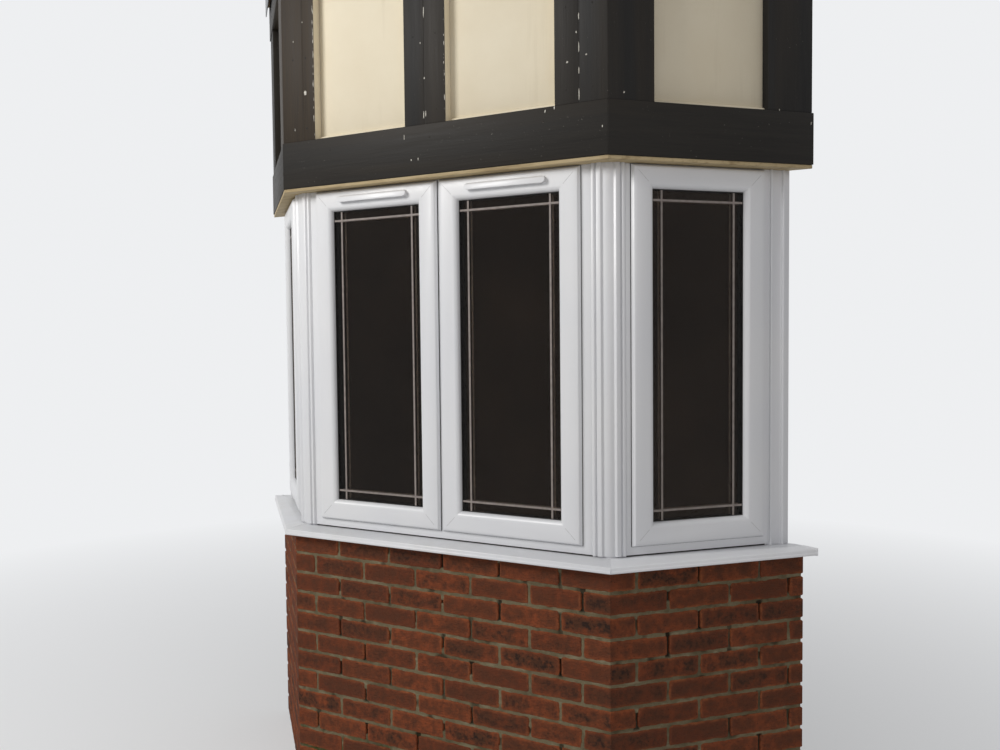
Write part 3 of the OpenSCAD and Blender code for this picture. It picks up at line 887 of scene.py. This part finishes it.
def glaze(node, face):
    (u0, u1), (outside, inside), (z0, z1) = extent_on(node, face)
    inner_pane = inside - PANE
    outer_mesh = bmesh.new()
    add_block(outer_mesh, face, (u0, u1), (outside, outside + PANE), (z0, z1))
    unit = new_piece(node + "_outer_pane", outer_mesh, OUTER_GLASS_SHADED)
    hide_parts(node)
    inner_mesh = bmesh.new()
    add_block(inner_mesh, face, (u0, u1), (inner_pane, inside), (z0, z1))
    new_piece(node + "_inner_pane", inner_mesh, INNER_GLASS_SHADED)
    spacer = bmesh.new()
    ring_of_blocks(spacer, face, (u0, u1, z0, z1), SIGHT_EDGE + SPACER_SHOWS, (outside + PANE, inner_pane))
    new_piece(node + "_spacer", spacer, SEAL_AND_SHADE)
    fit_strips(node, face, (u0, u1), (z0, z1), (outside, inner_pane))
    gasket = bmesh.new()
    sight = (u0 + SIGHT_EDGE, u1 - SIGHT_EDGE, z0 + SIGHT_EDGE, z1 - SIGHT_EDGE)
    ring_of_blocks(gasket, face, sight, GASKET_WIDTH, (outside - GASKET_PROUD, outside))
    new_piece(node + "_gasket", gasket, SEAL_AND_SHADE)


# Painted shade: the panes are tinted dark brown, the inner one almost black, for the unlit room behind
# them
OUTER_GLASS_SHADED = glass_finish("outer_glass_shade_tinted", shaded_clean=(0.40, 0.36, 0.32), shaded_smeared=(0.46, 0.42, 0.38))
INNER_GLASS_SHADED = glass_finish("inner_glass_painted_dark", shaded_clean=(0.012, 0.007, 0.004), shaded_smeared=(0.020, 0.012, 0.007))
LEAD_STRIP = two_toned("lead_strip", roughness=0.55, shine=0.3, patches=(60.0,), limits=(0.3, 0.7),
                       dark=(0.200, 0.172, 0.158), light=(0.320, 0.280, 0.258),
                       grain=(150.0,), relief=(0.0006, 0.4))
for node, face in GLASSES.items():
    glaze(node, face)


# Soffit boards
# Thin boards, painted cream and nailed up under the apron, which show as a pale edge under the beam.
# The paint is streaked with brown where water has run along the underside. The cream itself is
# darkened and browned as painted shade under the apron.
# Painted shade: the cream is darkened and browned for the shade under the apron
SOFFIT_CREAM_SHADED = (0.50, 0.395, 0.230)
SOFFIT_CREAM_DULL_SHADED = (0.42, 0.325, 0.175)
WATER_BROWN = (0.24, 0.165, 0.080)


def soffit_finish():
    material, tree, shader, place = start_material("cream_paint_shaded", roughness=0.6, shine=0.3)
    patchy = band(tree, cloud(tree, place, 5.0, 7.0), 0.3, 0.75)
    # Both creams carry painted shade for the underside of the apron
    colour = blend_colours(tree, patchy, SOFFIT_CREAM_SHADED, SOFFIT_CREAM_DULL_SHADED)
    streaks = cloud(tree, stretched(tree, place, (0.12, 1, 1)), 45.0, 5.0)
    streaks = band(tree, streaks, 0.49, 0.64, high_out=0.6)
    paint(tree, shader, blend_colours(tree, streaks, colour, WATER_BROWN))
    brushed = cloud(tree, stretched(tree, place, (1, 1, 8)), 30.0)
    raise_surface(tree, shader, brushed, 0.0008, strength=0.3)
    return material


SOFFIT = soffit_finish()
for node in sides("soffit"):
    dressed(node, SOFFIT, rounding=0.0015)


# Apron wall and rendered panels
# Sawn softwood framing carries smooth rendered panels, painted cream and finished at the foot with a
# fillet where they meet the beam.
RENDER_CREAM = (0.82, 0.745, 0.585)
RENDER_DULL = (0.77, 0.685, 0.520)
RAIN_RUN = (0.55, 0.470, 0.325)


def sawn_finish():
    material, tree, shader, place = start_material("sawn_softwood", roughness=0.85)
    grain = cloud(tree, stretched(tree, place, (1, 1, 0.06)), 70.0, 6.0, 0.65)
    mottle(tree, shader, grain, (0.35, 0.65), dark=(0.40, 0.26, 0.13), light=(0.58, 0.42, 0.24))
    raise_surface(tree, shader, grain, 0.001, strength=0.5)
    return material


def render_finish():
    material, tree, shader, place = start_material("painted_render", roughness=0.8, shine=0.3)
    patchy = band(tree, cloud(tree, place, 4.0, 6.0), 0.3, 0.75)
    colour = blend_colours(tree, patchy, RENDER_CREAM, RENDER_DULL)
    runs = cloud(tree, stretched(tree, place, (1, 1, 0.06)), 22.0, 4.0)
    runs = band(tree, runs, 0.58, 0.74, high_out=0.22)
    paint(tree, shader, blend_colours(tree, runs, colour, RAIN_RUN))
    fine = raise_surface(tree, shader, cloud(tree, place, 300.0, 5.0, 0.7), 0.0010, strength=0.5)
    raise_surface(tree, shader, cloud(tree, place, 15.0), 0.003, strength=0.3, under=fine)
    return material


FILLET = 0.016
PANEL_OUT = -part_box("panel_front")[0].y - DEPTH
BEAM_OUT = -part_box("beam_front")[0].y - DEPTH
BEAM_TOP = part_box("beam_front")[1].z


def fill_panel_feet():
    bm = bmesh.new()
    level = Vector((0, 0, 1))
    right, left = corner_point(PANEL_OUT, BEAM_TOP), corner_point(PANEL_OUT, BEAM_TOP, -1)
    run_bead(bm, [left, right], FILLET, level)
    for side, corner in ((1, right), (-1, left)):
        reach = -corner.y - FILLET
        run_bead(bm, [corner, corner + Vector((side * reach, reach, 0))], FILLET, level)
    new_piece("panel_fillets", bm, RENDER, soft_under=60)


SAWN = sawn_finish()
RENDER = render_finish()
for node in sides("apron_wall"):
    dressed(node, SAWN, rounding=0.002)
for node in sides("panel"):
    dressed(node, RENDER, rounding=0.0015)
fill_panel_feet()


# Black timbers
# Planed softwood boards, painted black and nailed over the panels. The panel paint laps on to their
# edges, and the filler shows pale where the paint has chipped off the nails, seams and arrises.
RAIL_DARK, RAIL_LIGHT = (0.0095, 0.008, 0.0068), (0.022, 0.0196, 0.0165)
POST_DARK, POST_LIGHT = (0.0085, 0.008, 0.0078), (0.0195, 0.0185, 0.0175)
BROWN_DARK, BROWN_LIGHT = (0.020, 0.0140, 0.0090), (0.045, 0.0320, 0.020)
FADED = (0.034, 0.026, 0.018)
DUST = (0.17, 0.16, 0.14)
RAIL_GRAIN, POST_GRAIN = (0.05, 0.05, 1), (1, 1, 0.05)


def black_paint_finish(name, run, dark, light):
    """Black paint over wood grain that runs along the rails or up the posts."""
    material, tree, shader, place = start_material(name, roughness=0.5, shine=0.14)
    grain = cloud(tree, stretched(tree, place, run), 60.0, 8.0, 0.7)
    tint = blend_colours(tree, band(tree, grain, 0.3, 0.7), dark, light)
    fading = cloud(tree, stretched(tree, place, run), 6.0, 3.0)
    tint = blend_colours(tree, band(tree, fading, 0.45, 0.70, high_out=0.6), tint, FADED)
    dust = band(tree, cloud(tree, place, 170.0, 3.0, 0.5), 0.715, 0.745)
    dust = product(tree, dust, band(tree, cloud(tree, place, 7.0, 2.0), 0.50, 0.58))
    paint(tree, shader, blend_colours(tree, dust, tint, DUST))
    tree.links.new(band(tree, grain, 0.3, 0.7, 0.44, 0.58), shader.inputs["Roughness"])
    raise_surface(tree, shader, grain, 0.0014, strength=0.7)
    return material


FILLER = two_toned("bare_filler", roughness=0.8, patches=(200.0,), limits=(0.35, 0.65),
                   dark=(0.42, 0.39, 0.33), light=(0.68, 0.66, 0.60),
                   grain=(400.0,), relief=(0.0005, 0.5))
POST_OUT = -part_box("timber_middle")[0].y - DEPTH
RAIL_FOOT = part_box("top_rail_front")[0].z
BEAM_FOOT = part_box("beam_front")[0].z
SEAM_WIDTH = 0.003
SEAM_DEPTH = 0.005
CORNER_SEAM_IN = 0.096
middle_low, middle_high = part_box("timber_middle")
MIDDLE_SEAM = HALF + (middle_low.x + middle_high.x) / 2
CORNER_SEAM = 2 * HALF + POST_OUT * MITRE - CORNER_SEAM_IN
SQUARE_ON = 0.95
EDGE_WITHIN = 0.001


def paint_edges(post):
    """The edges of a front post that look left and right take the paint of the panels."""
    along = FRONT_FACE[1]
    places = [v.co.dot(along) for v in post.data.vertices]
    low, high = min(places), max(places)
    post.data.materials.append(RENDER)
    for polygon in post.data.polygons:
        place = polygon.center.dot(along)
        to_edge = min(place - low, high - place)
        if abs(polygon.normal.dot(along)) > SQUARE_ON and to_edge < EDGE_WITHIN:
            polygon.material_index = 1


def fill_seams():
    """Painted filler in the seams of the wide posts: almost flush, and all but gone on the left corner."""
    seams = (("left", 2 * HALF - CORNER_SEAM, 0.0002, FADED_POST),
             ("middle", MIDDLE_SEAM, 0.0011, BLACK_POST), ("right", CORNER_SEAM, 0.0009, BLACK_POST))
    for name, u, depth, black in seams:
        bm = bmesh.new()
        limits = (u - SEAM_WIDTH / 2, u + SEAM_WIDTH / 2)
        add_block(bm, FRONT_FACE, limits, (depth - POST_OUT, SEAM_DEPTH - POST_OUT), (BEAM_TOP, RAIL_FOOT))
        new_piece("seam_filler_" + name, bm, black)


# Chips on the front, from its left corner, and on the right canted face: along, up, long and wide
POST_CHIPS = (
    (0.093, 2.880, 0.006, 0.004), (0.049, 2.815, 0.009, 0.003), (0.101, 2.622, 0.018, 0.013),
    (0.050, 2.493, 0.012, 0.003), (0.605, 2.724, 0.006, 0.004), (0.620, 2.604, 0.008, 0.004),
    (1.151, 2.579, 0.009, 0.008), (1.215, 2.594, 0.006, 0.006), (1.182, 2.667, 0.008, 0.004),
    (0.070, 2.985, 0.008, 0.005), (0.655, 2.960, 0.007, 0.004), (1.200, 2.905, 0.008, 0.005)
)
BEAM_CHIPS = (
    (0.537, 2.412, 0.020, 0.0035), (1.075, 2.436, 0.012, 0.005), (1.107, 2.443, 0.012, 0.004),
    (1.269, 2.367, 0.008, 0.004), (0.565, 2.332, 0.008, 0.005), (0.593, 2.333, 0.011, 0.0035)
)
CANT_CHIPS = (
    (0.048, 2.472, 0.008, 0.006), (0.718, 2.415, 0.012, 0.003), (0.600, 2.452, 0.007, 0.003),
    (0.075, 2.760, 0.006, 0.003), (0.030, 2.905, 0.007, 0.003)
)

# Chips on the seams, some a little aside of them: along, up and long
ASIDE = 0.004
SEAM_CHIPS = (
    (MIDDLE_SEAM, 2.827, 0.043), (MIDDLE_SEAM - ASIDE, 2.480, 0.034), (MIDDLE_SEAM + ASIDE, 2.484, 0.028),
    (CORNER_SEAM, 2.715, 0.021), (CORNER_SEAM, 2.619, 0.043), (CORNER_SEAM, 2.548, 0.025),
    (CORNER_SEAM, 2.476, 0.037), (CORNER_SEAM, 2.890, 0.030), (MIDDLE_SEAM, 2.960, 0.025)
)
SEAM_CHIP_WIDE = 0.0035

# Chips along two post edges: how many, how far in, how far from the ends, and their least and extra size
FLAKED_EDGES = (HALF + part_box("timber_corner_left")[1].x, HALF + middle_high.x)
EDGE_CHIPS = 24
EDGE_CHIP_IN = (0.0022, 0.0050)
EDGE_CHIP_CLEAR = 0.01
EDGE_CHIP_LONG, EDGE_CHIP_LONGER = 0.003, 0.022
EDGE_CHIP_WIDE, EDGE_CHIP_WIDER = 0.0012, 0.0022

FLAKE_PROUD = 0.0003
FLAKE_ROOT = 0.001
FLAKE_POINTS = 9
FLAKE_VARIES = (0.6, 1.15)


def add_flake(bm, face, u, z, out, long, wide):
    """Bare filler in an uneven oval, a hair proud of the paint."""
    ring = []
    for k in range(FLAKE_POINTS):
        turn, stretch = 2 * math.pi * k / FLAKE_POINTS, draw.uniform(*FLAKE_VARIES)
        ring.append((u + stretch * wide / 2 * math.cos(turn), z + stretch * long / 2 * math.sin(turn)))
    near = [bm.verts.new(face_point(face, a, -out - FLAKE_PROUD, b)) for a, b in ring]
    far = [bm.verts.new(face_point(face, a, FLAKE_ROOT - out, b)) for a, b in ring]
    join_rings(bm, near, far)


def chip_timbers():
    bm = bmesh.new()
    for u, z, long, wide in POST_CHIPS:
        add_flake(bm, FRONT_FACE, u, z, POST_OUT, long, wide)
    for u, z, long, wide in BEAM_CHIPS:
        add_flake(bm, FRONT_FACE, u, z, BEAM_OUT, long, wide)
    for u, z, long in SEAM_CHIPS:
        add_flake(bm, FRONT_FACE, u, z, POST_OUT, long, SEAM_CHIP_WIDE)
    for edge in FLAKED_EDGES:
        for _ in range(EDGE_CHIPS):
            u = edge - draw.uniform(*EDGE_CHIP_IN)
            z = draw.uniform(BEAM_TOP + EDGE_CHIP_CLEAR, RAIL_FOOT - EDGE_CHIP_CLEAR)
            size = draw.random() ** 3
            long = EDGE_CHIP_LONG + EDGE_CHIP_LONGER * size
            add_flake(bm, FRONT_FACE, u, z, POST_OUT, long, EDGE_CHIP_WIDE + EDGE_CHIP_WIDER * size)
    for u, z, long, wide in CANT_CHIPS:
        add_flake(bm, RIGHT_FACE, u, z, POST_OUT if z > BEAM_TOP else BEAM_OUT, long, wide)
    new_piece("paint_chips", bm, FILLER)


# A nail head is a low dome: its radius and rise, the share of each at its shoulder, and its root
NAIL_RADIUS = 0.0042
NAIL_PROUD = 0.0007
SHOULDER_RADIUS, SHOULDER_PROUD = 0.6, 0.75
NAIL_ROOT = 0.0005
NAIL_SIDES = 10

# Nails along the faces: on the left post, beside a seam, on the canted posts, and along the rails
NAIL_END = 0.045
LEFT_POST_NAILS = [0.045, 0.105]
BESIDE_SEAM = (-0.045, 0.045)
CANT_NAILS = (0.045, 0.120, CANT_LENGTH - 0.110, CANT_LENGTH - 0.045)
RAIL_NAIL_GAP = 0.2


def add_nail(bm, face, u, z, out):
    """A punched nail head under the paint."""
    tip = bm.verts.new(face_point(face, u, -out - NAIL_PROUD, z))
    turns = [2 * math.pi * k / NAIL_SIDES for k in range(NAIL_SIDES)]
    rings = []
    for share, proud in ((SHOULDER_RADIUS, NAIL_PROUD * SHOULDER_PROUD), (1.0, -NAIL_ROOT)):
        reach = share * NAIL_RADIUS
        ring = [(u + reach * math.cos(t), z + reach * math.sin(t)) for t in turns]
        rings.append([bm.verts.new(face_point(face, a, -out - proud, b)) for a, b in ring])
    base = bm.verts.new(face_point(face, u, NAIL_ROOT - out, z))
    shoulder, foot = rings
    for k in range(NAIL_SIDES):
        bm.faces.new((tip, shoulder[k - 1], shoulder[k]))
        bm.faces.new((shoulder[k - 1], foot[k - 1], foot[k], shoulder[k]))
        bm.faces.new((base, foot[k], foot[k - 1]))


def nail_timbers():
    bm = bmesh.new()
    rows = (BEAM_TOP + NAIL_END, (BEAM_TOP + RAIL_FOOT) / 2, RAIL_FOOT - NAIL_END)
    beside_seams = [seam + aside for seam in (MIDDLE_SEAM, CORNER_SEAM) for aside in BESIDE_SEAM]
    for u in LEFT_POST_NAILS + beside_seams:
        for z in rows:
            add_nail(bm, FRONT_FACE, u, z, POST_OUT)
    for face in (LEFT_FACE, RIGHT_FACE):
        for u in CANT_NAILS:
            for z in rows:
                add_nail(bm, face, u, z, POST_OUT)
    for face, length in ((FRONT_FACE, 2 * HALF), (LEFT_FACE, CANT_LENGTH), (RIGHT_FACE, CANT_LENGTH)):
        gaps = round(length / RAIL_NAIL_GAP)
        for k in range(1, gaps, 2):
            for z in (BEAM_FOOT + NAIL_END, BEAM_TOP - NAIL_END, RAIL_FOOT + NAIL_END):
                add_nail(bm, face, length * k / gaps, z, BEAM_OUT)
    new_piece("nail_heads", bm, BLACK_POST, soft_under=70)


BLACK_RAIL = black_paint_finish("rail_paint", RAIL_GRAIN, RAIL_DARK, RAIL_LIGHT)
BLACK_POST = black_paint_finish("post_paint", POST_GRAIN, POST_DARK, POST_LIGHT)
FADED_POST = black_paint_finish("faded_paint", POST_GRAIN, BROWN_DARK, BROWN_LIGHT)
FRONT_POSTS = {
    "timber_corner_left": FADED_POST, "timber_corner_right": BLACK_POST, "timber_middle": BLACK_POST
}
for node in sides("beam") + sides("top_rail"):
    dressed(node, BLACK_RAIL, rounding=0.002, steps=3)
for node, black in FRONT_POSTS.items():
    paint_edges(dressed(node, black, rounding=0.002, steps=3))
dressed("timber_ends", BLACK_POST, rounding=0.002, steps=3)
fill_seams()
chip_timbers()
nail_timbers()


# Flat roof
# A softwood deck under sheet lead, dressed down over the edge and turned up at the back. The lead has
# weathered to a dull grey with pale streaks.
LEAD_DARK = (0.19, 0.20, 0.21)
LEAD_GREY = (0.34, 0.35, 0.36)
LEAD_BLOOM = (0.40, 0.41, 0.41)


def lead_finish():
    material, tree, shader, place = start_material("weathered_lead", roughness=0.6)
    shader.inputs["Metallic"].default_value = 0.3
    streaks = cloud(tree, stretched(tree, place, (3, 0.8, 1)), 5.0, 8.0)
    colour = blend_colours(tree, band(tree, streaks, 0.35, 0.65), LEAD_DARK, LEAD_GREY)
    bloom = band(tree, cloud(tree, place, 3.0, 5.0), 0.45, 0.65, high_out=0.6)
    paint(tree, shader, blend_colours(tree, bloom, colour, LEAD_BLOOM))
    raise_surface(tree, shader, cloud(tree, place, 14.0, 5.0), 0.006, strength=0.4)
    return material


dressed("roof_deck", SAWN, rounding=0.002)
dressed("roof_lead", lead_finish(), rounding=0.001)


# Camera, light and floor
# The camera stands where the brick joints of the photograph put it, at standing eye height. Two soft
# lamps and a pale surround light the bay, and a plain pale floor takes its shadow.

# Where the camera stands in metres, how it is turned in degrees, and its focal length in photograph pixels
CAMERA_AT = Vector((1.678, -3.164, 1.730))
CAMERA_TURN = 28.16
CAMERA_PITCH = -2.57
CAMERA_ROLL = -0.57
FOCAL_PIXELS = 908
PHOTO_WIDTH = 1000
SENSOR = 36.0

lens = bpy.data.cameras.new("view_camera")
lens.sensor_fit = "HORIZONTAL"
lens.sensor_width = SENSOR
lens.lens = SENSOR * FOCAL_PIXELS / PHOTO_WIDTH
camera = bpy.data.objects.new("view_camera", lens)
bpy.context.scene.collection.objects.link(camera)
turn = Matrix.Rotation(math.radians(CAMERA_TURN), 4, "Z")
tilt = Matrix.Rotation(math.radians(90 + CAMERA_PITCH), 4, "X")
roll = Matrix.Rotation(math.radians(CAMERA_ROLL), 4, "Z")
camera.matrix_world = Matrix.Translation(CAMERA_AT) @ turn @ tilt @ roll
bpy.context.scene.camera = camera


def soft_lamp(name, place, aim, size, power, tint):
    data = bpy.data.lights.new(name, "AREA")
    data.shape = "SQUARE"
    data.size = size
    data.energy = power
    data.color = tint
    lamp = bpy.data.objects.new(name, data)
    bpy.context.scene.collection.objects.link(lamp)
    lamp.location = place
    lamp.rotation_euler = (Vector(aim) - Vector(place)).to_track_quat("-Z", "Y").to_euler()


soft_lamp("key_lamp", place=(-2.6, -4.6, 4.4), aim=(0, -0.3, 1.5), size=2.0, power=195,
          tint=(1.0, 0.985, 0.96))
soft_lamp("fill_lamp", place=(4.2, -3.4, 3.0), aim=(0.4, -0.3, 1.5), size=3.0, power=34,
          tint=(1.0, 0.95, 0.92))

# The surround's colour, and its strength where it is seen and where it lights the bay
SURROUND = (0.90, 0.91, 0.925, 1)
SHOWN_AS = 0.95
LIGHTS_AS = 0.27

# The floor's colour and half width, where it fades into the surround, and how far it has near the bay
FLOOR_GREY = (0.80, 0.80, 0.80, 1)
FLOOR_REACH = 30.0
FLOOR_FADES = (1.2, 5.5)
FLOOR_NEAR = 0.4


def looked_at(tree):
    """One for what the camera sees, straight, mirrored or through glass, and nought for light."""
    path = tree.nodes.new("ShaderNodeLightPath")
    total = path.outputs["Is Camera Ray"]
    for kind in ("Is Glossy Ray", "Is Transmission Ray"):
        node = tree.nodes.new("ShaderNodeMath")
        node.operation = "MAXIMUM"
        tree.links.new(total, node.inputs[0])
        tree.links.new(path.outputs[kind], node.inputs[1])
        total = node.outputs[0]
    return total


def pale_surround():
    world = bpy.data.worlds.new("pale_surround")
    bpy.context.scene.world = world
    world.use_nodes = True
    tree = world.node_tree
    back = tree.nodes["Background"]
    back.inputs["Color"].default_value = SURROUND
    tree.links.new(band(tree, looked_at(tree), 0, 1, LIGHTS_AS, SHOWN_AS), back.inputs["Strength"])


def floor_finish():
    """Plain pale floor round the bay, which fades into the surround further off."""
    material, tree, shader, place = start_material("pale_floor", roughness=0.8, shine=0.2)
    shader.inputs["Base Color"].default_value = FLOOR_GREY
    glow = tree.nodes.new("ShaderNodeEmission")
    glow.inputs["Color"].default_value = SURROUND
    glow.inputs["Strength"].default_value = SHOWN_AS
    distance = tree.nodes.new("ShaderNodeVectorMath")
    distance.operation = "LENGTH"
    tree.links.new(place, distance.inputs[0])
    far = band(tree, distance.outputs["Value"], *FLOOR_FADES, FLOOR_NEAR, 1.0)
    mix = tree.nodes.new("ShaderNodeMixShader")
    tree.links.new(product(tree, far, looked_at(tree)), mix.inputs[0])
    tree.links.new(shader.outputs[0], mix.inputs[1])
    tree.links.new(glow.outputs[0], mix.inputs[2])
    tree.links.new(mix.outputs[0], tree.nodes["Material Output"].inputs["Surface"])
    return material


pale_surround()
corners = [(-FLOOR_REACH, -FLOOR_REACH, 0), (FLOOR_REACH, -FLOOR_REACH, 0)]
corners += [(FLOOR_REACH, FLOOR_REACH, 0), (-FLOOR_REACH, FLOOR_REACH, 0)]
floor_mesh = bpy.data.meshes.new("studio_floor")
floor_mesh.from_pydata(corners, [], [(0, 1, 2, 3)])
floor_mesh.materials.append(floor_finish())
studio_floor = bpy.data.objects.new("studio_floor", floor_mesh)
bpy.context.scene.collection.objects.link(studio_floor)
bpy.context.scene.view_settings.view_transform = "Standard"
